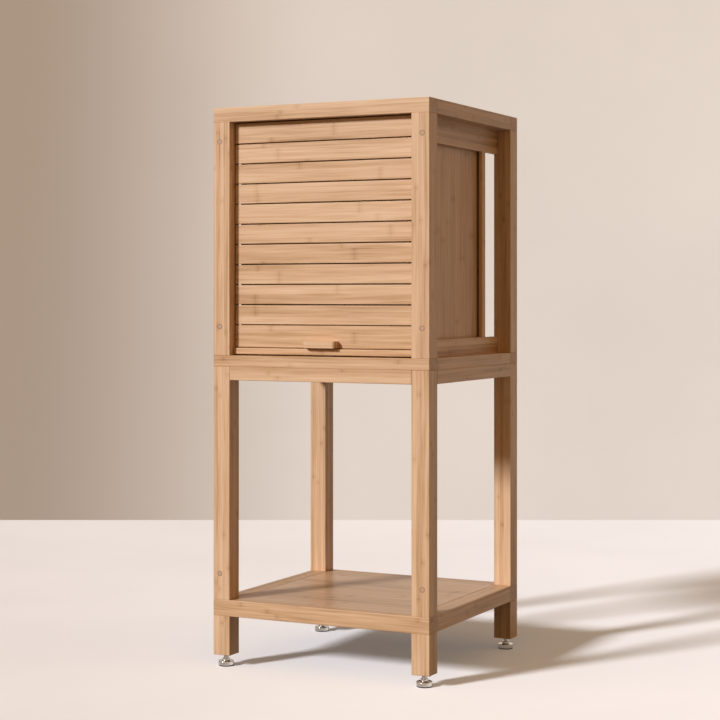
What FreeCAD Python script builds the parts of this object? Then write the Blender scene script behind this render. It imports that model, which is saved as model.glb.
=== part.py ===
import FreeCAD, Part
import os
from math import cos, pi, sin, sqrt

# A bamboo cabinet with a roll-up slatted door, on an open stand with levelling feet.
# Millimetres, +Z up, the door faces -Y, the origin is on the floor under the middle.

# Overall sizes
width = 380.0
depth = 360.0
post = 30.0

# Heights, from the floor up
foot_gap = 19.0
stub_height = 63.0
shelf_frame_height = 26.0
leg_height = 373.0
bottom_frame_height = 18.0
post_height = 373.0
top_frame_height = 23.0

# Shop values
overrun = 1.0
edge_ease = 0.6
fit_clearance = 0.1
round_clearance = 0.05

# Panels that lie in the three frames
panel_thickness = 12.0
panel_lip = 14.0
panel_gap = 0.4

# Tenons of the frames' side rails and of the stand's aprons
tenon_length = 9.0
tenon_thickness = 8.0
tenon_height_share = 0.5

# Aprons under the top of the stand
apron_height = 21.5
apron_thickness = 20.0

# Recessed sides of the cabinet
side_top_rail_height = 40.0
side_bottom_rail_height = 27.0
side_rail_thickness = 6.0
side_bead_height = 11.5
side_bead_step = 0.8
housing_depth = 3.0
stile_width = 13.0
stile_setback = 52.0
side_panel_thickness = 6.0
side_panel_inset = 4.0

# Inner box, back panel and inner shelf
inner_back_thickness = 6.0
ceiling_thickness = 6.0
ceiling_cover = 3.0
ceiling_front_setback = 10.0
back_panel_thickness = 3.0
inner_shelf_thickness = 12.0
inner_shelf_front_setback = 6.0
inner_shelf_gap = 0.5
inner_shelf_height_share = 0.48
shelf_pin_diameter = 5.0
shelf_pin_reach = 9.0
shelf_pin_bite = 4.0
shelf_pin_inset = 40.0

# Curtain of slats and its track
slat_setback = 16.0
slat_thickness = 8.0
slat_count = 10
slat_gap = 1.0
slat_bevel = 1.0
slat_end_gap = 1.5
lug_thickness = 4.0
lug_height = 4.0
lug_rise = 0.4
lug_length = 5.0
track_width = 5.0
track_depth = 4.0
track_top_drop = 5.0
track_bend = 30.0
track_rear_drop = 120.0
curtain_top_gap = 3.0
curtain_clearance = 1.0
curtain_room = 2.0
cloth_thickness = 0.8
cloth_side_margin = 14.0

# Bottom slat, bar and handle of the door
bar_rise = 2.0
bar_height = 10.0
bar_proud = 4.0
bottom_slat_height = 35.5
handle_width = 56.0
handle_reach = 16.0
handle_height = 11.0
handle_rise = 0.5
handle_corner = 5.0
handle_cove_radius = 5.0
handle_cove_depth = 3.0
handle_cove_margin = 5.0
screw_spacing = 30.0
screw_shank_diameter = 3.5
screw_head_diameter = 7.0
screw_head_height = 2.0
screw_bite = 9.0

# Loose tenons at the corners, and pegs
loose_tenon_width = 10.0
loose_tenon_thickness = 8.0
loose_tenon_bite = 15.0
loose_tenon_cover = 8.0
peg_diameter = 8.5
peg_depth = 10.0
peg_inset = 12.0
peg_top_drop = 31.0
peg_bottom_rise = 46.0
leg_peg_rise = 41.5

# Levelling feet
pad_diameter = 24.0
pad_height = 1.5
disc_diameter = 25.0
disc_height = 7.0
hub_diameter = 12.0
hub_height = 2.5
hub_sides = 6
stem_diameter = 8.0
stem_bite = 30.0
insert_diameter = 12.0
insert_length = 13.0
insert_sides = 6
stem_head_room = 8.0

# Places worked out from the sizes above
half_width = width / 2
half_depth = depth / 2
inner_x = half_width - post
inner_y = half_depth - post
corner_x = half_width - post / 2
corner_y = half_depth - post / 2
shelf_frame_base = foot_gap + stub_height
leg_base = shelf_frame_base + shelf_frame_height
leg_top = leg_base + leg_height
post_base = leg_top + bottom_frame_height
post_top = post_base + post_height
height = post_top + top_frame_height
side_outer_x = inner_x + side_rail_thickness
panel_outer_x = inner_x - side_panel_inset
panel_inner_x = panel_outer_x - side_panel_thickness
slat_front_y = -(half_depth - slat_setback)
slat_back_y = slat_front_y + slat_thickness
track_front_y = slat_front_y + slat_thickness / 2
track_top_z = post_top - track_top_drop
track_turn_z = track_top_z - track_bend
stile_rear_y = inner_y - stile_setback
stile_front_y = stile_rear_y - stile_width
back_panel_front_y = stile_rear_y - back_panel_thickness
track_rear_y = back_panel_front_y - curtain_clearance - slat_thickness / 2
inner_back_rear_y = track_rear_y - slat_thickness / 2 - curtain_room
inner_back_front_y = inner_back_rear_y - inner_back_thickness
ceiling_base = post_top - side_top_rail_height + ceiling_cover
ceiling_top = ceiling_base + ceiling_thickness
ceiling_front_y = -(inner_y - ceiling_front_setback)
inner_shelf_top = post_base + (ceiling_base - post_base) * inner_shelf_height_share
inner_shelf_base = inner_shelf_top - inner_shelf_thickness
slat_end_x = inner_x - slat_end_gap
lug_end_x = slat_end_x + lug_length
bar_base = post_base + bar_rise
bar_top = bar_base + bar_height
bottom_slat_base = bar_top + slat_gap
bottom_slat_top = bottom_slat_base + bottom_slat_height
slat_base = bottom_slat_top + slat_gap
slat_pitch = (post_top - curtain_top_gap + slat_gap - slat_base) / slat_count
curtain_top = slat_base + slat_count * slat_pitch - slat_gap
handle_base = bottom_slat_base + handle_rise
handle_front_y = slat_front_y - handle_reach
stem_top = foot_gap + stem_bite
disc_top = pad_height + disc_height

LEFT_RIGHT = (("left", -1), ("right", 1))
FRONT_REAR = (("front", -1), ("rear", 1))
CORNERS = [(f"{fr}_{lr}", sx, sy) for fr, sy in FRONT_REAR for lr, sx in LEFT_RIGHT]


def vector(x, y, z):
    return FreeCAD.Vector(x, y, z)


def block(a, b):
    """A box between two opposite corners, given in any order."""
    low = [min(p, q) for p, q in zip(a, b)]
    high = [max(p, q) for p, q in zip(a, b)]
    return Part.makeBox(high[0] - low[0], high[1] - low[1], high[2] - low[2], vector(*low))


def eased_block(a, b):
    """A board with its edges taken off."""
    board = block(a, b)
    return board.makeChamfer(edge_ease, board.Edges)


def grown(a, b, clearance):
    """The corners of a box made larger all round by a clearance."""
    low = [min(p, q) - clearance for p, q in zip(a, b)]
    high = [max(p, q) + clearance for p, q in zip(a, b)]
    return low, high


def rod(diameter, start, end):
    """A round bar between two points."""
    along = end - start
    return Part.makeCylinder(diameter / 2, along.Length, start, along)


def prism_x(points, x_low, x_high):
    """A section in Y and Z, drawn out along X."""
    corners = [vector(x_low, y, z) for y, z in points]
    section = Part.Face(Part.makePolygon(corners + corners[:1]))
    return section.extrude(vector(x_high - x_low, 0, 0))


def upright_rod(diameter, x, y, low, high):
    return rod(diameter, vector(x, y, low), vector(x, y, high))


def upright_bar(diameter, sides, x, y, low, high):
    """An upright bar with flat sides, whose corners lie on a circle."""
    angles = [2 * pi * i / sides for i in range(sides)]
    corners = [vector(x + diameter / 2 * cos(a), y + diameter / 2 * sin(a), low) for a in angles]
    section = Part.Face(Part.makePolygon(corners + corners[:1]))
    return section.extrude(vector(0, 0, high - low))


def cut_where_met(shape, cutters):
    """The shape less each cutter that reaches it."""
    near = [cutter for cutter in cutters if cutter.BoundBox.intersect(shape.BoundBox)]
    return shape.cut(near) if near else shape


# Joining pieces

def loose_tenon_spans():
    """Ends in Z of the tenons that tie a frame to what stands under and over it."""
    return [
        (shelf_frame_base - loose_tenon_bite, leg_base + loose_tenon_bite),
        (leg_top - loose_tenon_bite, post_base + loose_tenon_bite),
        (post_top - loose_tenon_bite, height - loose_tenon_cover),
    ]


def corner_tenons(extra=0):
    """Loose tenons upright through the corners of the three frames."""
    half_x = loose_tenon_width / 2 + extra
    half_y = loose_tenon_thickness / 2 + extra
    tenons = []
    for low, high in loose_tenon_spans():
        for _, sx, sy in CORNERS:
            x, y = sx * corner_x, sy * corner_y
            foot = (x - half_x, y - half_y, low - extra)
            tenons.append(block(foot, (x + half_x, y + half_y, high + extra)))
    return tenons


def post_pegs(extra=0):
    """Pegs in the front faces of the posts and legs, flush with them."""
    pegs = []
    for z in (post_top - peg_top_drop, post_base + peg_bottom_rise, leg_base + leg_peg_rise):
        for sx in (-1, 1):
            x = sx * (half_width - peg_inset)
            start = vector(x, -half_depth, z)
            end = vector(x, peg_depth + extra - half_depth, z)
            pegs.append(rod(peg_diameter + 2 * extra, start, end))
    return pegs


JOINT_HOLES = corner_tenons(fit_clearance) + post_pegs(round_clearance)


# Frames of the top, the cabinet floor and the lower shelf

def frame_tenon(sx, sy, base, rail_height):
    tenon_height = rail_height * tenon_height_share
    low_z = base + (rail_height - tenon_height) / 2
    a = (sx * corner_x - tenon_thickness / 2, sy * inner_y, low_z)
    b = (sx * corner_x + tenon_thickness / 2, sy * (inner_y + tenon_length), low_z + tenon_height)
    return a, b


def cross_rail(sy, base, rail_height):
    """Front or rear rail: full width, with a ledge for the panel and mortises for the side rails."""
    top = base + rail_height
    rail = eased_block((-half_width, sy * half_depth, base), (half_width, sy * inner_y, top))
    ledge_y = sy * (half_depth - panel_lip)
    ledge = block(
        (-inner_x, ledge_y, top - panel_thickness),
        (inner_x, sy * (inner_y - overrun), top + overrun),
    )
    mortises = [block(*grown(*frame_tenon(sx, sy, base, rail_height), fit_clearance)) for sx in (-1, 1)]
    return cut_where_met(rail.cut([ledge] + mortises), JOINT_HOLES)


def frame_side_rail(sx, base, rail_height):
    rail = eased_block((sx * inner_x, -inner_y, base), (sx * half_width, inner_y, base + rail_height))
    return rail.fuse([block(*frame_tenon(sx, sy, base, rail_height)) for sy in (-1, 1)])


def frame_panel(top):
    half_x = inner_x - panel_gap
    half_y = half_depth - panel_lip - panel_gap
    return eased_block((-half_x, -half_y, top - panel_thickness), (half_x, half_y, top))


def frame(name, panel_name, base, rail_height):
    parts = {panel_name: frame_panel(base + rail_height)}
    for side, sy in FRONT_REAR:
        parts[f"{name}_{side}_rail"] = cross_rail(sy, base, rail_height)
    for side, sx in LEFT_RIGHT:
        parts[f"{name}_{side}_rail"] = frame_side_rail(sx, base, rail_height)
    return parts


# Track of the curtain

def track(sx):
    """Groove up the front post, over the top along the side rail and down the rear stile."""
    x = sx * (inner_x - overrun)
    half = track_width / 2
    front_centre = track_front_y + track_bend
    rear_centre = track_rear_y - track_bend
    slope = sqrt(0.5)

    def run(radius):
        """One wall of the groove, from the foot of the front run to the foot of the rear one."""
        reach = radius - track_bend
        front, rear = track_front_y - reach, track_rear_y + reach
        top = track_turn_z + radius
        front_foot = vector(x, front, bar_base)
        front_turn = vector(x, front, track_turn_z)
        front_mid = vector(x, front_centre - radius * slope, track_turn_z + radius * slope)
        front_top = vector(x, front_centre, top)
        rear_top = vector(x, rear_centre, top)
        rear_mid = vector(x, rear_centre + radius * slope, track_turn_z + radius * slope)
        rear_turn = vector(x, rear, track_turn_z)
        rear_foot = vector(x, rear, track_turn_z - track_rear_drop)
        edges = [
            Part.LineSegment(front_foot, front_turn).toShape(),
            Part.Arc(front_turn, front_mid, front_top).toShape(),
            Part.LineSegment(front_top, rear_top).toShape(),
            Part.Arc(rear_top, rear_mid, rear_turn).toShape(),
            Part.LineSegment(rear_turn, rear_foot).toShape(),
        ]
        return edges, front_foot, rear_foot

    outer, outer_front, outer_rear = run(track_bend + half)
    inner, inner_front, inner_rear = run(track_bend - half)
    ends = [
        Part.LineSegment(outer_rear, inner_rear).toShape(),
        Part.LineSegment(inner_front, outer_front).toShape(),
    ]
    wire = Part.Wire(Part.__sortEdges__(outer + inner + ends))
    return Part.Face(wire).extrude(vector(sx * (track_depth + overrun), 0, 0))


# Cabinet sides

def side_rail_ends(sx, base, top):
    """The stretches of a side rail that are let into the two posts."""
    x_pair = (sx * inner_x, sx * side_outer_x)
    return [
        ((x_pair[0], sy * inner_y, base), (x_pair[1], sy * (inner_y + housing_depth), top))
        for sy in (-1, 1)
    ]


def side_rail(sx, base, top, bead_base, bead_top):
    """A recessed rail whose bead stands proud beside the panel."""
    reach = inner_y + housing_depth
    face_x = sx * (side_outer_x - side_bead_step)
    rail = block((sx * inner_x, -reach, base), (face_x, reach, top))
    bead = block((face_x, -reach, bead_base), (sx * side_outer_x, reach, bead_top))
    return rail.fuse(bead).removeSplitter()


def side_top_rail(sx):
    base = post_top - side_top_rail_height
    rail = side_rail(sx, base, post_top, base, base + side_bead_height)
    return rail.cut(track(sx))


def side_bottom_rail(sx):
    top = post_base + side_bottom_rail_height
    return side_rail(sx, post_base, top, top - side_bead_height, top)


def rear_stile(sx):
    base = post_base + side_bottom_rail_height
    top = post_top - side_top_rail_height
    stile = eased_block((sx * inner_x, stile_front_y, base), (sx * side_outer_x, stile_rear_y, top))
    return stile.cut(track(sx))


def side_panel(sx):
    panel = block(
        (sx * panel_inner_x, -inner_y, post_base),
        (sx * panel_outer_x, stile_front_y, ceiling_base),
    )
    return cut_where_met(panel, shelf_pins(round_clearance))


# Posts, legs and stubs

def corner_upright(sx, sy, base, top):
    return eased_block((sx * inner_x, sy * inner_y, base), (sx * half_width, sy * half_depth, top))


def upper_post(sx, sy):
    upright = corner_upright(sx, sy, post_base, post_top)
    top_ends = side_rail_ends(sx, post_top - side_top_rail_height, post_top)
    bottom_ends = side_rail_ends(sx, post_base, post_base + side_bottom_rail_height)
    housings = [block(*grown(*end, fit_clearance)) for end in top_ends + bottom_ends]
    upright = cut_where_met(upright, JOINT_HOLES + housings)
    return upright.cut(track(sx)) if sy < 0 else upright


def leg(sx, sy):
    upright = corner_upright(sx, sy, leg_base, leg_top)
    mortises = [block(*grown(*tenon, fit_clearance)) for tenon in apron_tenons()]
    return cut_where_met(upright, JOINT_HOLES + mortises)


def leg_stub(sx, sy):
    """A short foot of the leg, bored for the insert and for the stem above it."""
    stub = corner_upright(sx, sy, foot_gap, shelf_frame_base)
    x, y = sx * corner_x, sy * corner_y
    bore_diameter = insert_diameter + 2 * round_clearance
    bore = upright_rod(bore_diameter, x, y, foot_gap - overrun, stem_top + stem_head_room)
    return cut_where_met(stub.cut(bore), JOINT_HOLES)


# Aprons of the stand

def apron_tenon_z():
    tenon_height = apron_height * tenon_height_share
    low = leg_top - (apron_height + tenon_height) / 2
    return low, low + tenon_height


def cross_apron_tenons(sy):
    low, high = apron_tenon_z()
    middle = sy * (half_depth - apron_thickness / 2)
    y_low, y_high = middle - tenon_thickness / 2, middle + tenon_thickness / 2
    return [((sx * inner_x, y_low, low), (sx * (inner_x + tenon_length), y_high, high)) for sx in (-1, 1)]


def side_apron_tenons(sx):
    low, high = apron_tenon_z()
    middle = sx * (half_width - apron_thickness / 2)
    x_low, x_high = middle - tenon_thickness / 2, middle + tenon_thickness / 2
    return [((x_low, sy * inner_y, low), (x_high, sy * (inner_y + tenon_length), high)) for sy in (-1, 1)]


def apron_tenons():
    tenons = []
    for sign in (-1, 1):
        tenons += cross_apron_tenons(sign) + side_apron_tenons(sign)
    return tenons


def cross_apron(sy):
    board = eased_block(
        (-inner_x, sy * half_depth, leg_top - apron_height),
        (inner_x, sy * (half_depth - apron_thickness), leg_top),
    )
    return board.fuse([block(*tenon) for tenon in cross_apron_tenons(sy)])


def side_apron(sx):
    board = eased_block(
        (sx * half_width, -inner_y, leg_top - apron_height),
        (sx * (half_width - apron_thickness), inner_y, leg_top),
    )
    return board.fuse([block(*tenon) for tenon in side_apron_tenons(sx)])


# Inner box and shelf

def inner_ceiling():
    return block((-inner_x, ceiling_front_y, ceiling_base), (inner_x, inner_back_rear_y, ceiling_top))


def inner_back_panel():
    return block(
        (-panel_inner_x, inner_back_front_y, post_base),
        (panel_inner_x, inner_back_rear_y, ceiling_base),
    )


def outer_back_panel():
    return block(
        (-inner_x, back_panel_front_y, post_base),
        (inner_x, stile_rear_y, height - panel_thickness),
    )


def inner_shelf():
    half_x = panel_inner_x - inner_shelf_gap
    return eased_block(
        (-half_x, inner_shelf_front_setback - inner_y, inner_shelf_base),
        (half_x, inner_back_front_y - inner_shelf_gap, inner_shelf_top),
    )


def shelf_pins(extra=0):
    """Pins let into the side panels, under the corners of the inner shelf."""
    z = inner_shelf_base - shelf_pin_diameter / 2
    pins = []
    for y in (shelf_pin_inset - inner_y, inner_back_front_y - shelf_pin_inset):
        for sx in (-1, 1):
            start = vector(sx * (panel_inner_x - shelf_pin_reach), y, z)
            end = vector(sx * (panel_inner_x + shelf_pin_bite + extra), y, z)
            pins.append(rod(shelf_pin_diameter + 2 * extra, start, end))
    return pins


# Curtain and door bar

def lugs(base, lug_top):
    """Tongues at both ends of a slat that run in the track."""
    y_low = track_front_y - lug_thickness / 2
    y_high = track_front_y + lug_thickness / 2
    return [block((sx * slat_end_x, y_low, base), (sx * lug_end_x, y_high, lug_top)) for sx in (-1, 1)]


def slat(base, slat_height):
    top = base + slat_height
    section = [
        (slat_front_y, base + slat_bevel),
        (slat_front_y + slat_bevel, base),
        (slat_back_y, base),
        (slat_back_y, top),
        (slat_front_y + slat_bevel, top),
        (slat_front_y, top - slat_bevel),
    ]
    board = prism_x(section, -slat_end_x, slat_end_x)
    return board.fuse(lugs(base + lug_rise, base + lug_rise + lug_height))


def tambour_slats():
    return [slat(slat_base + i * slat_pitch, slat_pitch - slat_gap) for i in range(slat_count)]


def bottom_slat():
    return slat(bottom_slat_base, bottom_slat_height).cut(handle_screws(round_clearance))


def bottom_bar():
    front = slat_front_y - bar_proud
    section = [
        (front, bar_base + slat_bevel),
        (front + slat_bevel, bar_base),
        (slat_back_y, bar_base),
        (slat_back_y, bar_top),
        (front + slat_bevel, bar_top),
        (front, bar_top - slat_bevel),
    ]
    return prism_x(section, -slat_end_x, slat_end_x).fuse(lugs(bar_base, bar_top))


def door_handle():
    """A straight pull with rounded front corners and a finger cove underneath."""
    pull = block(
        (-handle_width / 2, handle_front_y, handle_base),
        (handle_width / 2, slat_front_y, handle_base + handle_height),
    )
    front_corners = [
        edge for edge in pull.Edges
        if edge.BoundBox.ZLength > handle_height / 2 and edge.BoundBox.YMax < slat_front_y - handle_reach / 2
    ]
    pull = pull.makeFillet(handle_corner, front_corners)
    top_edges = [edge for edge in pull.Edges if edge.BoundBox.ZMin > handle_base + handle_height / 2]
    outer_edges = [edge for edge in top_edges if edge.BoundBox.YMin < slat_front_y - slat_bevel]
    pull = pull.makeChamfer(slat_bevel, outer_edges)
    cove_z = handle_base + handle_cove_depth - handle_cove_radius
    cove_y = slat_front_y - handle_reach / 2
    cove_half = handle_width / 2 - handle_cove_margin
    cove = rod(2 * handle_cove_radius, vector(-cove_half, cove_y, cove_z), vector(cove_half, cove_y, cove_z))
    return pull.cut([cove] + handle_screws(round_clearance))


def handle_screws(extra=0):
    """Screws through the bottom slat into the handle, heads sunk in the slat's back."""
    screws = []
    z = handle_base + (handle_height + handle_cove_depth) / 2
    for sx in (-1, 1):
        x = sx * screw_spacing / 2
        back = vector(x, slat_back_y, z)
        seat = vector(x, slat_back_y - screw_head_height - extra, z)
        tip = vector(x, slat_front_y - screw_bite - extra, z)
        head = rod(screw_head_diameter + 2 * extra, back, seat)
        screws.append(head.fuse(rod(screw_shank_diameter + 2 * extra, back, tip)).removeSplitter())
    return screws


def tambour_cloth():
    half_x = slat_end_x - cloth_side_margin
    return block(
        (-half_x, slat_back_y, bottom_slat_base),
        (half_x, slat_back_y + cloth_thickness, curtain_top),
    )


# Levelling feet

def foot_inserts():
    """Six-sided nuts driven into the bores of the stubs."""
    inserts = []
    top = foot_gap + insert_length
    for _, sx, sy in CORNERS:
        x, y = sx * corner_x, sy * corner_y
        bore = upright_rod(stem_diameter + 2 * round_clearance, x, y, foot_gap, top)
        inserts.append(upright_bar(insert_diameter, insert_sides, x, y, foot_gap, top).cut(bore))
    return inserts


def levelling_foot(sx, sy):
    """A steel disc, six-sided hub and stem in one, on a rubber pad."""
    x, y = sx * corner_x, sy * corner_y
    pad = upright_rod(pad_diameter, x, y, 0, pad_height)
    disc = upright_rod(disc_diameter, x, y, pad_height, disc_top)
    hub = upright_bar(hub_diameter, hub_sides, x, y, pad_height, disc_top + hub_height)
    stem = upright_rod(stem_diameter, x, y, pad_height, stem_top)
    return [disc.fuse([hub, stem]).removeSplitter(), pad]


def all_parts():
    parts = {}
    parts.update(frame("top", "top_panel", post_top, top_frame_height))
    parts.update(frame("bottom", "cabinet_floor", leg_top, bottom_frame_height))
    parts.update(frame("shelf", "lower_shelf_panel", shelf_frame_base, shelf_frame_height))
    for name, sx, sy in CORNERS:
        parts[f"upper_post_{name}"] = upper_post(sx, sy)
        parts[f"leg_{name}"] = leg(sx, sy)
        parts[f"leg_stub_{name}"] = leg_stub(sx, sy)
        parts[f"levelling_foot_{name}"] = levelling_foot(sx, sy)
    for side, sy in FRONT_REAR:
        parts[f"{side}_apron"] = cross_apron(sy)
    for side, sx in LEFT_RIGHT:
        parts[f"{side}_apron"] = side_apron(sx)
        parts[f"side_top_rail_{side}"] = side_top_rail(sx)
        parts[f"side_bottom_rail_{side}"] = side_bottom_rail(sx)
        parts[f"rear_stile_{side}"] = rear_stile(sx)
        parts[f"side_panel_{side}"] = side_panel(sx)
    parts["inner_ceiling"] = inner_ceiling()
    parts["inner_back_panel"] = inner_back_panel()
    parts["outer_back_panel"] = outer_back_panel()
    parts["inner_shelf"] = inner_shelf()
    parts["shelf_pins"] = shelf_pins()
    parts["corner_tenons"] = corner_tenons()
    parts["post_pegs"] = post_pegs()
    parts["foot_inserts"] = foot_inserts()
    parts["tambour_slats"] = tambour_slats()
    parts["tambour_bottom_slat"] = bottom_slat()
    parts["tambour_bottom_bar"] = bottom_bar()
    parts["door_handle"] = door_handle()
    parts["handle_screws"] = handle_screws()
    parts["tambour_cloth"] = tambour_cloth()
    return parts


os.makedirs("parts", exist_ok=True)
for node, shape in all_parts().items():
    solids = shape if isinstance(shape, list) else [shape]
    Part.makeCompound(solids).exportStep(f"parts/{node}.step")
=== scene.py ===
import math

import bmesh
import bpy
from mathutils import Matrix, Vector


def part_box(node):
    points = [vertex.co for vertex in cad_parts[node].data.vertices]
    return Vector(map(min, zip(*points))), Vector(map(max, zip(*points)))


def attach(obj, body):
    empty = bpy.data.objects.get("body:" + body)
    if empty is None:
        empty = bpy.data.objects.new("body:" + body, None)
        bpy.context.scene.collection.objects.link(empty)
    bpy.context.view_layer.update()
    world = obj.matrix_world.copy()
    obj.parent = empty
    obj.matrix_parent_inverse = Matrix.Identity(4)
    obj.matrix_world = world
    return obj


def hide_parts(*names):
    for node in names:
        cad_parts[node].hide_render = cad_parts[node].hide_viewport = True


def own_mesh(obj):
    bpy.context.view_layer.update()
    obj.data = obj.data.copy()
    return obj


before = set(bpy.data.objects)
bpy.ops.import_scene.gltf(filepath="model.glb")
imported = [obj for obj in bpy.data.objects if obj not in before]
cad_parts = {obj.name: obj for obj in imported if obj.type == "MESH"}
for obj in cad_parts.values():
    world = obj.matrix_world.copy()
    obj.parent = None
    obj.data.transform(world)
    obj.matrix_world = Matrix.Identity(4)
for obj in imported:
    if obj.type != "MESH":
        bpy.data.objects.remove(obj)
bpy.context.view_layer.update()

X_AXIS = 0
Z_AXIS = 2
ORIGIN = Vector((0.0, 0.0, 0.0))

# Camera at the photograph's viewing angle: its place in metres, its sensor in millimetres
IMAGE_SIZE = 720
FOCAL_PIXELS = 1777.7
LEVEL_ROW = 296.4
SENSOR_WIDTH = 36.0
CAMERA_TURN = math.radians(26.567)
CAMERA_PLACE = Vector((1.2963, -2.6263, 0.5933))

# Light: one soft key from the front left and a warm fill from all round
KEY_TURN = math.radians(27.0)
KEY_RISE = math.radians(24.0)
KEY_STRENGTH = 2.95
KEY_COLOUR = (0.98, 1.0, 1.06)
KEY_SPREAD = math.radians(9.0)
FILL_COLOUR = (0.40, 0.255, 0.120)
BACKGROUND_COLOUR = (0.80, 0.74, 0.68)

# Floor and wall. The wall's painted shade, darker to the left, runs sideways across the view, between two
# places in metres
STAGE_SIZE = 14.0
WALL_DISTANCE = 4.717
FLOOR_COLOUR = (0.94, 0.92, 0.92)
FLOOR_LIFT = 0.12
WALL_COLOUR = (0.86, 0.81, 0.755)
WALL_LIFT = 0.20
WALL_SHADE_START = -0.05
WALL_SHADE_END = -0.95
WALL_SHADE_SHARES = (0.56, 0.49, 0.43)
PLASTER_CLOUD_SCALE = 1.6
PLASTER_CLOUD_SHARE = 0.86
PLASTER_ROUGHNESS = 0.6
PLASTER_DULLING = 0.70
BLACK = (0.0, 0.0, 0.0)

# Bamboo: colours from a dark fibre to a pale one, and the tone that most of a board has
BAMBOO_STOPS = [
    (0.00, (0.34, 0.175, 0.075)),
    (0.35, (0.53, 0.318, 0.164)),
    (0.60, (0.65, 0.412, 0.238)),
    (1.00, (0.77, 0.530, 0.335)),
]
BAMBOO_TONE = 0.60
END_GRAIN_COLOUR = (0.40, 0.225, 0.105)
END_GRAIN_SHARE = 0.45
END_GRAIN_FALL = 4.0

# Bamboo strips, in metres, and how each board's pattern is moved by its seed
FRAME_STRIP = 0.0072
PANEL_STRIP = 0.019
SEED_SHIFT = 0.371
SEED_CELL = 1.7

# Bamboo fibres: noise cells in a metre, across the grain and along it
BROAD_ACROSS = 210.0
BROAD_ALONG = 5.0
FINE_ACROSS = 560.0
FINE_ALONG = 14.0
CLOUD_ACROSS = 22.0
CLOUD_ALONG = 9.0

# Bamboo contrast: how far each pattern moves the tone
STRIP_CONTRAST = 0.30
BROAD_CONTRAST = 0.95
FINE_CONTRAST = 0.75
CLOUD_CONTRAST = 0.30

# Bamboo knuckles, in metres: a thin line with a soft smear on both sides
KNUCKLE_SPACING = 0.31
KNUCKLE_SCATTER = 3.0
KNUCKLE_CORE = 0.0003
KNUCKLE_LINE = 0.0018
KNUCKLE_WOBBLE = 0.0022
KNUCKLE_SMEAR = 0.011
LINE_DEPTH = 0.10
SMEAR_DEPTH = 0.19
SMEAR_LEAST = 0.2

# Bamboo sheen and relief
BAMBOO_ROUGHNESS = 0.40
FINE_ROUGHENING = 0.22
KNUCKLE_ROUGHENING = 0.2
FINE_RELIEF = 0.6
BROAD_RELIEF = 0.4
BAMBOO_SPECULAR = 0.22
COAT_ROUGHNESS = 0.22
TOP_COAT = 0.22

# Paler bead along the side rails with painted shade on the rest of each side rail, how much darker the
# bottom front rail is, and the painted shade on the top slat under the top rail
BEAD_HEIGHT = 0.0115
BEAD_CORE_SHARE = 0.9
BEAD_CONTRAST = 0.34
PAINTED_SHADE_BESIDE_BEAD = 0.12
SHADED_BOARD = 0.14

# Which boards have wide strips, run from left to right, or are lacquered
WIDE_BOARDS = {"cabinet_floor", "inner_shelf", "inner_ceiling", "tambour_bottom_slat"}
GRAIN_ALONG_X = {"top_panel", "cabinet_floor", "lower_shelf_panel"}
COATED_BOARDS = {"lower_shelf_panel", "top_panel", "inner_shelf"}

# Nodes that other pieces stand for
FOOT_NODE = "levelling_foot_"
REPLACED_NODES = {"tambour_slats", "tambour_cloth", "post_pegs"}

# Metals: turning marks in a metre, and what marks and smears do
ZINC_COLOUR = (0.62, 0.61, 0.60)
ZINC_ROUGHNESS = 0.34
BRASS_COLOUR = (0.72, 0.52, 0.22)
BRASS_ROUGHNESS = 0.30
FOOT_STEEL_COLOUR = (0.80, 0.78, 0.75)
FOOT_STEEL_ROUGHNESS = 0.20
TURNING_ACROSS = 40.0
TURNING_UP = 2600.0
TURNING_ROUGHENING = 0.16
METAL_SMEAR_SCALE = 90.0
METAL_SMEAR_SHARE = 0.35
METAL_SMEAR_DARKNESS = 0.72
METAL_SMEAR_ROUGHENING = 0.12

# Rubber
RUBBER_COLOUR = (0.030, 0.028, 0.026)
RUBBER_DUST_COLOUR = (0.085, 0.080, 0.074)
RUBBER_GRIT_SCALE = 1800.0
RUBBER_DUST_SCALE = 160.0
RUBBER_DUST_SHARE = 0.5
RUBBER_ROUGHNESS = 0.62
RUBBER_GRIT_ROUGHENING = 0.25

# Canvas: a thread's width in metres, and slubs in a metre
THREAD_WIDTH = 0.0011
CANVAS_DARK = (0.20, 0.155, 0.105)
CANVAS_PALE = (0.40, 0.33, 0.24)
SLUB_ACROSS = 700.0
SLUB_UP = 45.0
WEAVE_CONTRAST = 0.5
SLUB_CONTRAST = 0.4
CANVAS_ROUGHNESS = 0.85
SLUB_ROUGHENING = 0.1

# Peg ends
PEG_DARK = (0.30, 0.175, 0.105)
PEG_PALE = (0.66, 0.43, 0.29)
GLUE_COLOUR = (0.22, 0.125, 0.075)
GLUE_SHARE = 0.6
GLUE_START_SHARE = 0.66
GLUE_END_SHARE = 0.90
PEG_DOT_SCALE = 2400.0
PEG_RING_SCALE = 520.0
PEG_ROUGHNESS = 0.5
PEG_DOT_ROUGHENING = 0.2

# Pegs, in metres
PEG_EDGE = 0.0004
PEG_MIDDLE_RADIUS = 0.0002
PEG_MIDDLE_SHARE = 0.5
PEG_SIDES = 40
PEG_LEVEL = 0.05

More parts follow.
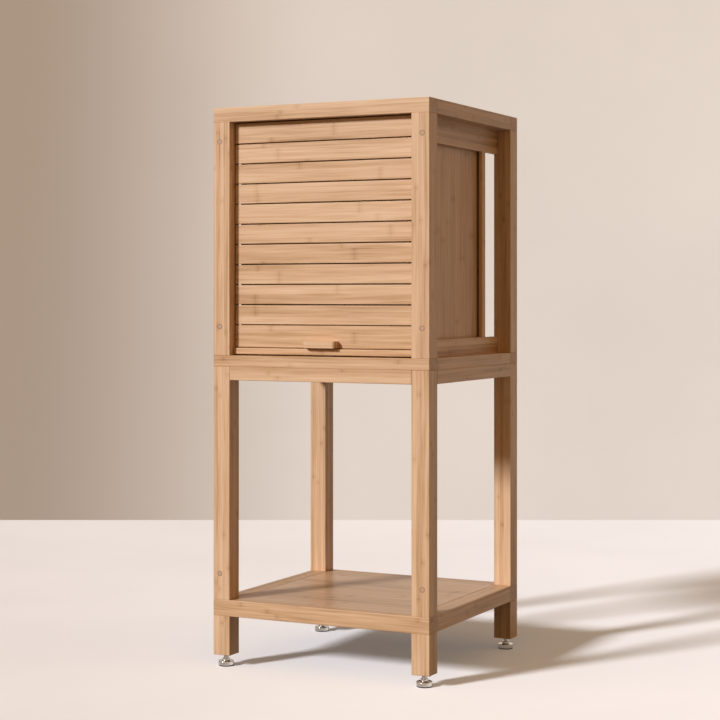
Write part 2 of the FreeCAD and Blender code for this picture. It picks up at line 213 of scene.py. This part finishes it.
# Levelling feet, in metres, with angles in degrees
FOOT_MIDDLE_RADIUS = 0.0004
PAD_HEIGHT = 0.0015
PAD_RADIUS = 0.0120
PAD_FLAT_RADIUS = 0.0112
PAD_EDGE = 0.0006
PAD_EDGE_START = -70
PAD_EDGE_STEPS = 4
DISC_RADIUS = 0.0125
DISC_TOP = 0.0085
DISC_RIM = 0.0011
DISC_RIM_SWEEP = 80
DISC_RIM_STEPS = 5
DISC_SLOPE = 0.0030
DISC_SLOPE_DROP = 0.0005
HUB_RADIUS = 0.0059
HUB_TOP = 0.0125
HUB_HOLLOW = 0.0012
HUB_HOLLOW_DROP = 0.0007
HUB_EDGE = 0.0005
STEM_RADIUS = 0.004
STEM_EDGE = 0.0008
THREAD_PITCH = 0.00125
THREAD_DEPTH = 0.0005
THREAD_LOW_SHARES = (0.30, 0.45)
THREAD_HIGH_SHARES = (0.80, 1.00)

# Curtain, in metres
SLAT_COUNT = 10
SLAT_GAP = 0.001
SLAT_SHADOW_LINE = 0.0009
SLAT_BEVEL = 0.0006
SLAT_CRISP = 20.0
SLAT_FIRST_SEED = 101
SLAT_SEED_STEP = 3
TOP_SLAT_REACH = 0.0012
LUG_LENGTH = 0.005
LUG_OVERLAP = 0.002
LUG_INSET = 0.002
LUG_RISE = 0.0004
LUG_HEIGHT = 0.004
LUG_BEVEL = 0.0004
CANVAS_COLUMNS = 40
CANVAS_ROWS = 48
CANVAS_INSET = 0.0003
RIPPLE_DEPTH = 0.00015
RIPPLE_ACROSS = 90.0
RIPPLE_UP = 40.0


class Wire:
    """A shader socket that can be reckoned with: each sign adds one Math node."""

    def __init__(self, finish, socket):
        self.finish = finish
        self.socket = socket

    def reckon(self, operation, first, second=None):
        inputs = {0: first} if second is None else {0: first, 1: second}
        return self.finish.add("ShaderNodeMath", {"operation": operation}, inputs)

    def __add__(self, other):
        return self.reckon("ADD", self, other)

    __radd__ = __add__

    def __sub__(self, other):
        return self.reckon("SUBTRACT", self, other)

    def __rsub__(self, other):
        return self.reckon("SUBTRACT", other, self)

    def __mul__(self, other):
        return self.reckon("MULTIPLY", self, other)

    __rmul__ = __mul__

    def __truediv__(self, other):
        return self.reckon("DIVIDE", self, other)

    def __pow__(self, other):
        return self.reckon("POWER", self, other)

    def __abs__(self):
        return self.reckon("ABSOLUTE", self)

    def floor(self):
        return self.reckon("FLOOR", self)

    def fraction(self):
        return self.reckon("FRACT", self)

    def larger(self, other):
        return self.reckon("MAXIMUM", self, other)

    def centred(self):
        """A value that runs from 0 to 1, moved to run evenly about zero."""
        return self - 0.5


class Finish:
    """A material, or the world, while its nodes are being made."""

    def __init__(self, owner):
        self.owner = owner
        owner.use_nodes = True
        self.tree = owner.node_tree
        self.tree.nodes.clear()

    def add(self, kind, settings, inputs, output=0):
        """Adds a node: its settings first, then its sockets.

        Gives the output that is asked for, a list of all of them, or nothing for None.
        """
        node = self.tree.nodes.new(kind)
        for key, value in settings.items():
            if key == "stops":
                self.set_stops(node.color_ramp, value)
            else:
                setattr(node, key, value)
        for key, value in inputs.items():
            self.plug(node.inputs[key], value)
        if output is None:
            return None
        if output == "all":
            return [Wire(self, socket) for socket in node.outputs]
        return Wire(self, node.outputs[output])

    def plug(self, socket, value):
        """Links a wire to a socket, or sets a number or a colour on it."""
        if isinstance(value, Wire):
            self.tree.links.new(value.socket, socket)
        elif socket.type == "RGBA":
            socket.default_value = (*value, 1.0)
        else:
            socket.default_value = value

    @staticmethod
    def set_stops(ramp, stops):
        while len(ramp.elements) < len(stops):
            ramp.elements.new(1.0)
        for element, (position, colour) in zip(ramp.elements, stops):
            element.position = position
            element.color = (*colour, 1.0)

    def place(self):
        """Where a point of the surface lies in its object, in metres."""
        return self.add("ShaderNodeTexCoord", {}, {}, "Object")

    def split(self, vector):
        return self.add("ShaderNodeSeparateXYZ", {}, {0: vector}, "all")

    def combine(self, x, y, z):
        return self.add("ShaderNodeCombineXYZ", {}, {0: x, 1: y, 2: z})

    def noise(self, vector, detail, scale=1.0):
        return self.add("ShaderNodeTexNoise", {}, {"Vector": vector, "Scale": scale, "Detail": detail})

    def fade(self, value, start, end):
        """1 at start or before, 0 at end or after, smooth between."""
        inputs = {"Value": value, "From Min": start, "From Max": end, "To Min": 1.0, "To Max": 0.0}
        return self.add("ShaderNodeMapRange", {"interpolation_type": "SMOOTHSTEP"}, inputs)

    def mix(self, factor, first, second):
        """A blend of two colours: the node has its colour sockets at 6 and 7, and gives one at 2."""
        return self.add("ShaderNodeMix", {"data_type": "RGBA"}, {0: factor, 6: first, 7: second}, 2)

    def bump(self, height, strength, distance):
        inputs = {"Height": height, "Strength": strength, "Distance": distance}
        return self.add("ShaderNodeBump", {}, inputs)

    def surface(self, shader):
        """Ends a material with this shader, and gives the material."""
        self.add("ShaderNodeOutputMaterial", {}, {"Surface": shader}, None)
        return self.owner

    def principled(self, **inputs):
        """Ends a material with a Principled shader, whose sockets are named in lower case."""
        sockets = {}
        for key, value in inputs.items():
            sockets[key.replace("_", " ").title().replace("Ior", "IOR")] = value
        return self.surface(self.add("ShaderNodeBsdfPrincipled", {}, sockets))


def new_finish(name):
    return Finish(bpy.data.materials.new(name))


def shaded(colour, shares):
    return tuple(channel * share for channel, share in zip(colour, shares))


# Finishes

def bamboo(name, grain, seed, strip, shade=0.0, coat=0.0, bead=None):
    """Laminated bamboo: strips of different tone, fine fibres along the grain and darker knuckles.

    A bead is a span of heights that is paler than the rest of its board, which is darkened as painted
    shade.
    """
    finish = new_finish(name)
    spots = finish.split(finish.place())
    along = spots[grain]
    across, through = [spots[axis] for axis in range(3) if axis != grain]
    shift = seed * SEED_SHIFT
    cell_across = (across / strip + shift).floor()
    cell_through = (through / strip + shift).floor()
    cell = finish.combine(cell_across, cell_through, seed * SEED_CELL)
    chance = finish.add("ShaderNodeTexWhiteNoise", {"noise_dimensions": "3D"}, {"Vector": cell})
    broad_cells = finish.combine(across * BROAD_ACROSS + shift, through * BROAD_ACROSS, along * BROAD_ALONG)
    fine_cells = finish.combine(across * FINE_ACROSS, through * FINE_ACROSS, along * FINE_ALONG + shift)
    cloud_cells = finish.combine(across * CLOUD_ACROSS + seed, through * CLOUD_ACROSS, along * CLOUD_ALONG)
    broad = finish.noise(broad_cells, detail=2.0)
    fine = finish.noise(fine_cells, detail=3.0)
    cloud = finish.noise(cloud_cells, detail=1.0)
    turn = (along / KNUCKLE_SPACING + chance * KNUCKLE_SCATTER + shift).fraction()
    reach = abs(turn.centred()) * KNUCKLE_SPACING
    line = finish.fade(reach + broad.centred() * KNUCKLE_WOBBLE, KNUCKLE_CORE, KNUCKLE_LINE)
    smear = finish.fade(reach, 0.0, KNUCKLE_SMEAR)
    knuckle = line * LINE_DEPTH + smear * (broad + SMEAR_LEAST) * SMEAR_DEPTH
    # shade darkens the whole board; on the top slat this is painted shade under the top rail
    tone = BAMBOO_TONE - shade + chance.centred() * STRIP_CONTRAST + broad.centred() * BROAD_CONTRAST
    tone = tone + fine.centred() * FINE_CONTRAST + cloud.centred() * CLOUD_CONTRAST - knuckle
    if bead:
        middle = (bead[0] + bead[1]) / 2
        half = (bead[1] - bead[0]) / 2
        on_bead = finish.fade(abs(spots[Z_AXIS] - middle), half * BEAD_CORE_SHARE, half)
        # painted shade: the rest of the side rail is darker, as in its recess beside the frame, while the
        # bead stays paler
        tone = tone - PAINTED_SHADE_BESIDE_BEAD + on_bead * BEAD_CONTRAST
    colour = finish.add("ShaderNodeValToRGB", {"stops": BAMBOO_STOPS}, {0: tone})
    facing = finish.split(finish.add("ShaderNodeNewGeometry", {}, {}, "Normal"))[grain]
    end_grain = abs(facing) ** END_GRAIN_FALL * END_GRAIN_SHARE
    return finish.principled(
        base_color=finish.mix(end_grain, colour, END_GRAIN_COLOUR),
        roughness=BAMBOO_ROUGHNESS + fine.centred() * FINE_ROUGHENING + knuckle * KNUCKLE_ROUGHENING,
        normal=finish.bump(fine * FINE_RELIEF + broad * BROAD_RELIEF, strength=0.22, distance=0.0006),
        specular_ior_level=BAMBOO_SPECULAR,
        coat_weight=coat,
        coat_roughness=COAT_ROUGHNESS,
    )


def plated_steel(name, colour, roughness):
    """Bright metal with turning marks and faint smears."""
    finish = new_finish(name)
    place = finish.place()
    x, y, z = finish.split(place)
    marks = finish.combine(x * TURNING_ACROSS, y * TURNING_ACROSS, z * TURNING_UP)
    rings = finish.noise(marks, detail=2.0)
    smear = finish.noise(place, detail=3.0, scale=METAL_SMEAR_SCALE)
    smeared = shaded(colour, [METAL_SMEAR_DARKNESS] * 3)
    rough = roughness + rings.centred() * TURNING_ROUGHENING + smear.centred() * METAL_SMEAR_ROUGHENING
    return finish.principled(
        base_color=finish.mix(smear * METAL_SMEAR_SHARE, colour, smeared),
        metallic=1.0,
        roughness=rough,
        normal=finish.bump(rings, strength=0.10, distance=0.0002),
    )


def dark_rubber(name):
    """Matt rubber with a little dust on it."""
    finish = new_finish(name)
    place = finish.place()
    grit = finish.noise(place, detail=3.0, scale=RUBBER_GRIT_SCALE)
    dust = finish.noise(place, detail=2.0, scale=RUBBER_DUST_SCALE)
    return finish.principled(
        base_color=finish.mix(dust * RUBBER_DUST_SHARE, RUBBER_COLOUR, RUBBER_DUST_COLOUR),
        roughness=RUBBER_ROUGHNESS + grit * RUBBER_GRIT_ROUGHENING,
        normal=finish.bump(grit, strength=0.25, distance=0.0002),
    )


def canvas(name):
    """Plain woven canvas: threads over and under, two ways."""
    finish = new_finish(name)
    x, _, z = finish.split(finish.place())
    column = x / THREAD_WIDTH
    course = z / THREAD_WIDTH
    warp = abs(column.fraction().centred())
    weft = abs(course.fraction().centred())
    over = ((column.floor() + course.floor()) * 0.5).fraction() * 2.0
    weave = over * (1.0 - warp * 2.0) + (1.0 - over) * (1.0 - weft * 2.0)
    slub = finish.noise(finish.combine(x * SLUB_ACROSS, 0.0, z * SLUB_UP), detail=2.0)
    return finish.principled(
        base_color=finish.mix(weave * WEAVE_CONTRAST + slub * SLUB_CONTRAST, CANVAS_DARK, CANVAS_PALE),
        roughness=CANVAS_ROUGHNESS + slub * SLUB_ROUGHENING,
        normal=finish.bump(weave, strength=0.5, distance=0.0003),
    )


def peg_wood(name, radius):
    """End grain with a darker glue line round it."""
    finish = new_finish(name)
    place = finish.place()
    x, _, z = finish.split(place)
    reach = (x * x + z * z) ** 0.5
    dots = finish.noise(place, detail=2.0, scale=PEG_DOT_SCALE)
    rings = finish.noise(place, detail=2.0, scale=PEG_RING_SCALE)
    wood = finish.mix(dots * 0.5 + rings * 0.5, PEG_DARK, PEG_PALE)
    glue = 1.0 - finish.fade(reach, radius * GLUE_START_SHARE, radius * GLUE_END_SHARE)
    return finish.principled(
        base_color=finish.mix(glue * GLUE_SHARE, wood, GLUE_COLOUR),
        roughness=PEG_ROUGHNESS + dots * PEG_DOT_ROUGHENING,
        normal=finish.bump(dots, strength=0.3, distance=0.0003),
    )


def plaster(name, colour, lift, shaded_side, one_sided):
    """A pale matt stage surface, a little cloudy. It shows in full to the camera and in
    reflections, and throws less light back on the cabinet."""
    finish = new_finish(name)
    place = finish.place()
    cloud = finish.noise(place, detail=4.0, scale=PLASTER_CLOUD_SCALE)
    tint = finish.mix(cloud, shaded(colour, [PLASTER_CLOUD_SHARE] * 3), colour)
    # painted shade: the wall darkens towards the left of the view
    if shaded_side:
        x, y, _ = finish.split(place)
        sideways = x * math.cos(CAMERA_TURN) + y * math.sin(CAMERA_TURN)
        lit = finish.fade(sideways, WALL_SHADE_START, WALL_SHADE_END)
        tint = finish.mix(lit, shaded(colour, WALL_SHADE_SHARES), tint)
    camera_ray = finish.add("ShaderNodeLightPath", {}, {}, "Is Camera Ray")
    glossy_ray = finish.add("ShaderNodeLightPath", {}, {}, "Is Glossy Ray")
    seen = camera_ray.larger(glossy_ray)
    shown = finish.mix(seen, finish.mix(PLASTER_DULLING, tint, BLACK), tint)
    matt = finish.add("ShaderNodeBsdfDiffuse", {}, {"Color": shown, "Roughness": PLASTER_ROUGHNESS})
    glow = finish.add("ShaderNodeEmission", {}, {"Color": tint, "Strength": seen * lift})
    shader = finish.add("ShaderNodeAddShader", {}, {0: matt, 1: glow})
    if one_sided:
        behind = finish.add("ShaderNodeNewGeometry", {}, {}, "Backfacing")
        clear = finish.add("ShaderNodeBsdfTransparent", {}, {})
        shader = finish.add("ShaderNodeMixShader", {}, {0: behind, 1: shader, 2: clear})
    return finish.surface(shader)


# Mesh pieces

def piece_from(name, mesh, material, body, place=ORIGIN):
    """A new piece that moves with a body and takes the finish that it is given."""
    piece = bpy.data.objects.new(name, mesh)
    piece.location = place
    bpy.context.scene.collection.objects.link(piece)
    piece.data.materials.append(material)
    bpy.context.view_layer.update()
    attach(piece, body)
    return piece


def mesh_from(name, builder, crisp=32.0):
    """A mesh made by a function that fills a bmesh, with corners over crisp degrees kept sharp."""
    mesh = bpy.data.meshes.new(name)
    work = bmesh.new()
    builder(work)
    bmesh.ops.recalc_face_normals(work, faces=work.faces)
    work.to_mesh(mesh)
    work.free()
    mesh.shade_smooth()
    mesh.set_sharp_from_angle(angle=math.radians(crisp))
    return mesh


def turned(work, profile, centre, sides=64):
    """Turns radius and height points about an upright axis, and closes both ends."""
    rings = []
    for radius, height in profile:
        ring = []
        for side in range(sides):
            angle = 2.0 * math.pi * side / sides
            spot = (centre.x + radius * math.cos(angle), centre.y + radius * math.sin(angle), height)
            ring.append(work.verts.new(spot))
        rings.append(ring)
    for low, high in zip(rings, rings[1:]):
        for side in range(sides):
            after = (side + 1) % sides
            work.faces.new((low[side], low[after], high[after], high[side]))
    work.faces.new(list(reversed(rings[0])))
    work.faces.new(rings[-1])


def arc_points(centre_radius, centre_height, radius, start, end, steps):
    """Radius and height points along an arc, between two angles in degrees."""
    points = []
    for step in range(steps + 1):
        angle = math.radians(start + (end - start) * step / steps)
        points.append((centre_radius + radius * math.cos(angle), centre_height + radius * math.sin(angle)))
    return points


def rounded_board(work, low, high, bevel, segments=2):
    """A board with softly rounded edges."""
    size = high - low
    centre = (low + high) / 2
    made = bmesh.ops.create_cube(work, size=1.0)
    for vertex in made["verts"]:
        vertex.co = Vector([centre[k] + vertex.co[k] * size[k] for k in range(3)])
    edges = list({edge for vertex in made["verts"] for edge in vertex.link_edges})
    bmesh.ops.bevel(work, geom=edges, offset=bevel, segments=segments, affect="EDGES", profile=0.5)


# CAD nodes that stay: what they are made of

def rail_bead(name, low, high):
    """Heights of the paler bead on a side rail, along the edge that faces the side panel."""
    if name.startswith("side_top_rail"):
        return low.z, low.z + BEAD_HEIGHT
    if name.startswith("side_bottom_rail"):
        return high.z - BEAD_HEIGHT, high.z
    return None


def board_finish(name, seed):
    """Bamboo for one board, with its grain along its longest side unless the board says otherwise."""
    low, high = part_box(name)
    size = high - low
    grain = X_AXIS if name in GRAIN_ALONG_X else max(range(3), key=lambda axis: size[axis])
    strip = PANEL_STRIP if "panel" in name or name in WIDE_BOARDS else FRAME_STRIP
    shade = SHADED_BOARD if name == "bottom_front_rail" else 0.0
    coat = TOP_COAT if name in COATED_BOARDS else 0.0
    return bamboo(f"bamboo_{name}", grain, seed, strip, shade, coat, rail_bead(name, low, high))


def finish_cad_nodes():
    zinc = plated_steel("zinc_plate", ZINC_COLOUR, ZINC_ROUGHNESS)
    brass = plated_steel("insert_brass", BRASS_COLOUR, BRASS_ROUGHNESS)
    metals = {"handle_screws": zinc, "shelf_pins": zinc, "foot_inserts": brass}
    for seed, (name, node) in enumerate(sorted(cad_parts.items())):
        if name.startswith(FOOT_NODE) or name in REPLACED_NODES:
            continue
        material = metals.get(name) or board_finish(name, seed)
        node.data.materials.clear()
        node.data.materials.append(material)


# Levelling feet

def foot_profile(top):
    """A disc with a rounded rim, a hub, and a stem with the ridges of its thread."""
    rim_radius = DISC_RADIUS - DISC_RIM
    profile = [(FOOT_MIDDLE_RADIUS, PAD_HEIGHT), (rim_radius, PAD_HEIGHT)]
    profile += arc_points(rim_radius, PAD_HEIGHT + DISC_RIM, DISC_RIM, -DISC_RIM_SWEEP, 0, DISC_RIM_STEPS)
    profile += arc_points(rim_radius, DISC_TOP - DISC_RIM, DISC_RIM, 0, DISC_RIM_SWEEP, DISC_RIM_STEPS)
    profile.append((DISC_RADIUS - DISC_SLOPE, DISC_TOP - DISC_SLOPE_DROP))
    profile.append((HUB_RADIUS + HUB_HOLLOW, DISC_TOP - HUB_HOLLOW_DROP))
    profile += [(HUB_RADIUS, DISC_TOP), (HUB_RADIUS, HUB_TOP - HUB_EDGE)]
    profile += [(HUB_RADIUS - HUB_EDGE, HUB_TOP), (STEM_RADIUS, HUB_TOP)]
    height = HUB_TOP
    while height + THREAD_PITCH < top:
        for share in THREAD_LOW_SHARES:
            profile.append((STEM_RADIUS - THREAD_DEPTH, height + THREAD_PITCH * share))
        for share in THREAD_HIGH_SHARES:
            profile.append((STEM_RADIUS, height + THREAD_PITCH * share))
        height += THREAD_PITCH
    return profile + [(STEM_RADIUS - STEM_EDGE, top), (FOOT_MIDDLE_RADIUS, top)]


def pad_profile():
    """A thin round pad with its lower edge rounded."""
    profile = [(FOOT_MIDDLE_RADIUS, 0.0), (PAD_FLAT_RADIUS, 0.0)]
    profile += arc_points(PAD_RADIUS - PAD_EDGE, PAD_EDGE, PAD_EDGE, PAD_EDGE_START, 0, PAD_EDGE_STEPS)
    return profile + [(PAD_RADIUS, PAD_HEIGHT), (FOOT_MIDDLE_RADIUS, PAD_HEIGHT)]


def finish_feet():
    steel = plated_steel("foot_plate", FOOT_STEEL_COLOUR, FOOT_STEEL_ROUGHNESS)
    rubber = dark_rubber("foot_rubber")
    for name in sorted(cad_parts):
        if not name.startswith(FOOT_NODE):
            continue
        corner = name.replace(FOOT_NODE, "")
        low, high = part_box(name)
        centre = (low + high) / 2
        foot_mesh = mesh_from(f"foot_{corner}", lambda work: turned(work, foot_profile(high.z), centre))
        foot = piece_from(f"levelling_screw_{corner}", foot_mesh, steel, f"foot_{corner}")
        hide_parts(name)
        pad_mesh = mesh_from(f"pad_{corner}", lambda work: turned(work, pad_profile(), centre))
        piece_from(f"foot_pad_{corner}", pad_mesh, rubber, f"foot_{corner}")


# Pegs

def peg_places():
    """Middle, radius and length of each peg, from the corners of the pegs' mesh."""
    groups = {}
    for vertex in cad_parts["post_pegs"].data.vertices:
        key = (vertex.co.x > 0, round(vertex.co.z / PEG_LEVEL))
        groups.setdefault(key, []).append(vertex.co)
    places = []
    for spots in groups.values():
        low = Vector([min(spot[k] for spot in spots) for k in range(3)])
        high = Vector([max(spot[k] for spot in spots) for k in range(3)])
        size = high - low
        places.append(((low + high) / 2, size.x / 2, size.y))
    return sorted(places, key=lambda entry: (entry[0].z, entry[0].x))


def peg_mesh(name, radius, length):
    """A peg turned upright and then laid down, so that its face looks to the front."""
    half = length / 2
    profile = [(radius, -half), (radius, half - PEG_EDGE), (radius - PEG_EDGE, half)]
    profile += [(radius * PEG_MIDDLE_SHARE, half), (PEG_MIDDLE_RADIUS, half)]
    mesh = mesh_from(name, lambda work: turned(work, profile, ORIGIN, PEG_SIDES))
    for vertex in mesh.vertices:
        vertex.co = (vertex.co.x, -vertex.co.z, vertex.co.y)
    return mesh


def finish_pegs():
    for number, (centre, radius, length) in enumerate(peg_places()):
        mesh = peg_mesh(f"peg_{number}", radius, length)
        material = peg_wood(f"peg_wood_{number}", radius)
        peg = piece_from(f"post_peg_{number + 1}", mesh, material, "cabinet", centre)
        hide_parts("post_pegs")


# Curtain

def build_slat(work, low, high, lug_end):
    """A slat with a lug at each end, which runs in the track."""
    rounded_board(work, low, high, SLAT_BEVEL)
    for sign in (-1, 1):
        ends = sorted((sign * (high.x - LUG_OVERLAP), sign * lug_end))
        lug_low = Vector((ends[0], low.y + LUG_INSET, low.z + LUG_RISE))
        lug_high = Vector((ends[1], high.y - LUG_INSET, low.z + LUG_RISE + LUG_HEIGHT))
        rounded_board(work, lug_low, lug_high, LUG_BEVEL, 1)


def build_canvas(work, low, high):
    """A thin sheet with a slight ripple, at the back of the room that the canvas has."""
    span = high - low
    courses = []
    for row in range(CANVAS_ROWS + 1):
        z = low.z + span.z * row / CANVAS_ROWS
        course = []
        for column in range(CANVAS_COLUMNS + 1):
            x = low.x + span.x * column / CANVAS_COLUMNS
            ripple = RIPPLE_DEPTH * math.sin(RIPPLE_ACROSS * x + RIPPLE_UP * z)
            course.append(work.verts.new((x, high.y - CANVAS_INSET + ripple, z)))
        courses.append(course)
    for here, above in zip(courses, courses[1:]):
        for column in range(CANVAS_COLUMNS):
            work.faces.new((here[column], here[column + 1], above[column + 1], above[column]))


def finish_slats():
    low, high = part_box("tambour_slats")
    lower_low, lower_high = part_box("tambour_bottom_slat")
    pitch = (high.z - low.z + SLAT_GAP) / SLAT_COUNT
    end = high.x - LUG_LENGTH
    for number in range(SLAT_COUNT):
        topmost = number == SLAT_COUNT - 1
        base = low.z + number * pitch + SLAT_SHADOW_LINE / 2
        top = high.z + TOP_SLAT_REACH if topmost else base + pitch - SLAT_GAP - SLAT_SHADOW_LINE
        slat_low = Vector((-end, lower_low.y, base))
        slat_high = Vector((end, lower_high.y, top))
        mesh = mesh_from(
            f"slat_{number}", lambda work: build_slat(work, slat_low, slat_high, high.x), SLAT_CRISP
        )
        seed = SLAT_FIRST_SEED + SLAT_SEED_STEP * number
        # painted shade on the top slat, for the shadow of the top rail above it
        shade = SHADED_BOARD if topmost else 0.0
        material = bamboo(f"bamboo_slat_{number}", X_AXIS, seed, PANEL_STRIP, shade)
        slat = piece_from(f"curtain_slat_{number + 1}", mesh, material, "cabinet")
        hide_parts("tambour_slats")
        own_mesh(slat)


def finish_canvas():
    low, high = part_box("tambour_cloth")
    mesh = mesh_from("canvas", lambda work: build_canvas(work, low, high))
    cloth = piece_from("curtain_canvas", mesh, canvas("canvas"), "cabinet")
    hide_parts("tambour_cloth")
    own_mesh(cloth)


def finish_curtain():
    """Slats and canvas of the curtain."""
    finish_slats()
    finish_canvas()


# Stage, light and camera

def stage_plane(name, material, centre, across, up):
    mesh = bpy.data.meshes.new(name)
    half = STAGE_SIZE / 2
    corners = [(-half, -half), (half, -half), (half, half), (-half, half)]
    points = [centre + across * a + up * b for a, b in corners]
    mesh.from_pydata(points, [], [(0, 1, 2, 3)])
    plane = bpy.data.objects.new(name, mesh)
    bpy.context.scene.collection.objects.link(plane)
    plane.data.materials.append(material)


def set_stage():
    forward = Vector((-math.sin(CAMERA_TURN), math.cos(CAMERA_TURN), 0.0))
    right = Vector((math.cos(CAMERA_TURN), math.sin(CAMERA_TURN), 0.0))
    floor = plaster("floor_plaster", FLOOR_COLOUR, FLOOR_LIFT, False, False)
    wall = plaster("wall_plaster", WALL_COLOUR, WALL_LIFT, True, True)
    stage_plane("floor", floor, ORIGIN, Vector((1.0, 0.0, 0.0)), Vector((0.0, 1.0, 0.0)))
    foot = CAMERA_PLACE + forward * WALL_DISTANCE
    stage_plane("wall", wall, Vector((foot.x, foot.y, STAGE_SIZE / 2)), right, Vector((0.0, 0.0, 1.0)))


def set_key():
    key = bpy.data.lights.new("key", "SUN")
    key.energy = KEY_STRENGTH
    key.color = KEY_COLOUR
    key.angle = KEY_SPREAD
    lamp = bpy.data.objects.new("key", key)
    bpy.context.scene.collection.objects.link(lamp)
    level = math.cos(KEY_RISE)
    towards = Vector((-math.sin(KEY_TURN) * level, -math.cos(KEY_TURN) * level, math.sin(KEY_RISE)))
    lamp.rotation_euler = towards.to_track_quat("Z", "Y").to_euler()


def set_fill():
    """Fill light from all round, with a paler background for the camera alone."""
    world = bpy.data.worlds.new("fill")
    bpy.context.scene.world = world
    finish = Finish(world)
    camera_ray = finish.add("ShaderNodeLightPath", {}, {}, "Is Camera Ray")
    fill = finish.add("ShaderNodeBackground", {}, {"Color": FILL_COLOUR})
    background = finish.add("ShaderNodeBackground", {}, {"Color": BACKGROUND_COLOUR})
    shader = finish.add("ShaderNodeMixShader", {}, {0: camera_ray, 1: fill, 2: background})
    finish.add("ShaderNodeOutputWorld", {}, {"Surface": shader}, None)


def set_camera():
    lens = bpy.data.cameras.new("camera")
    lens.sensor_width = SENSOR_WIDTH
    lens.lens = SENSOR_WIDTH * FOCAL_PIXELS / IMAGE_SIZE
    lens.shift_y = (LEVEL_ROW - IMAGE_SIZE / 2) / IMAGE_SIZE
    camera = bpy.data.objects.new("camera", lens)
    camera.location = CAMERA_PLACE
    camera.rotation_euler = (math.radians(90.0), 0.0, CAMERA_TURN)
    bpy.context.scene.collection.objects.link(camera)
    bpy.context.scene.camera = camera


finish_cad_nodes()
finish_feet()
finish_pegs()
finish_curtain()
set_stage()
set_key()
set_fill()
set_camera()
bpy.context.scene.view_settings.view_transform = "Standard"
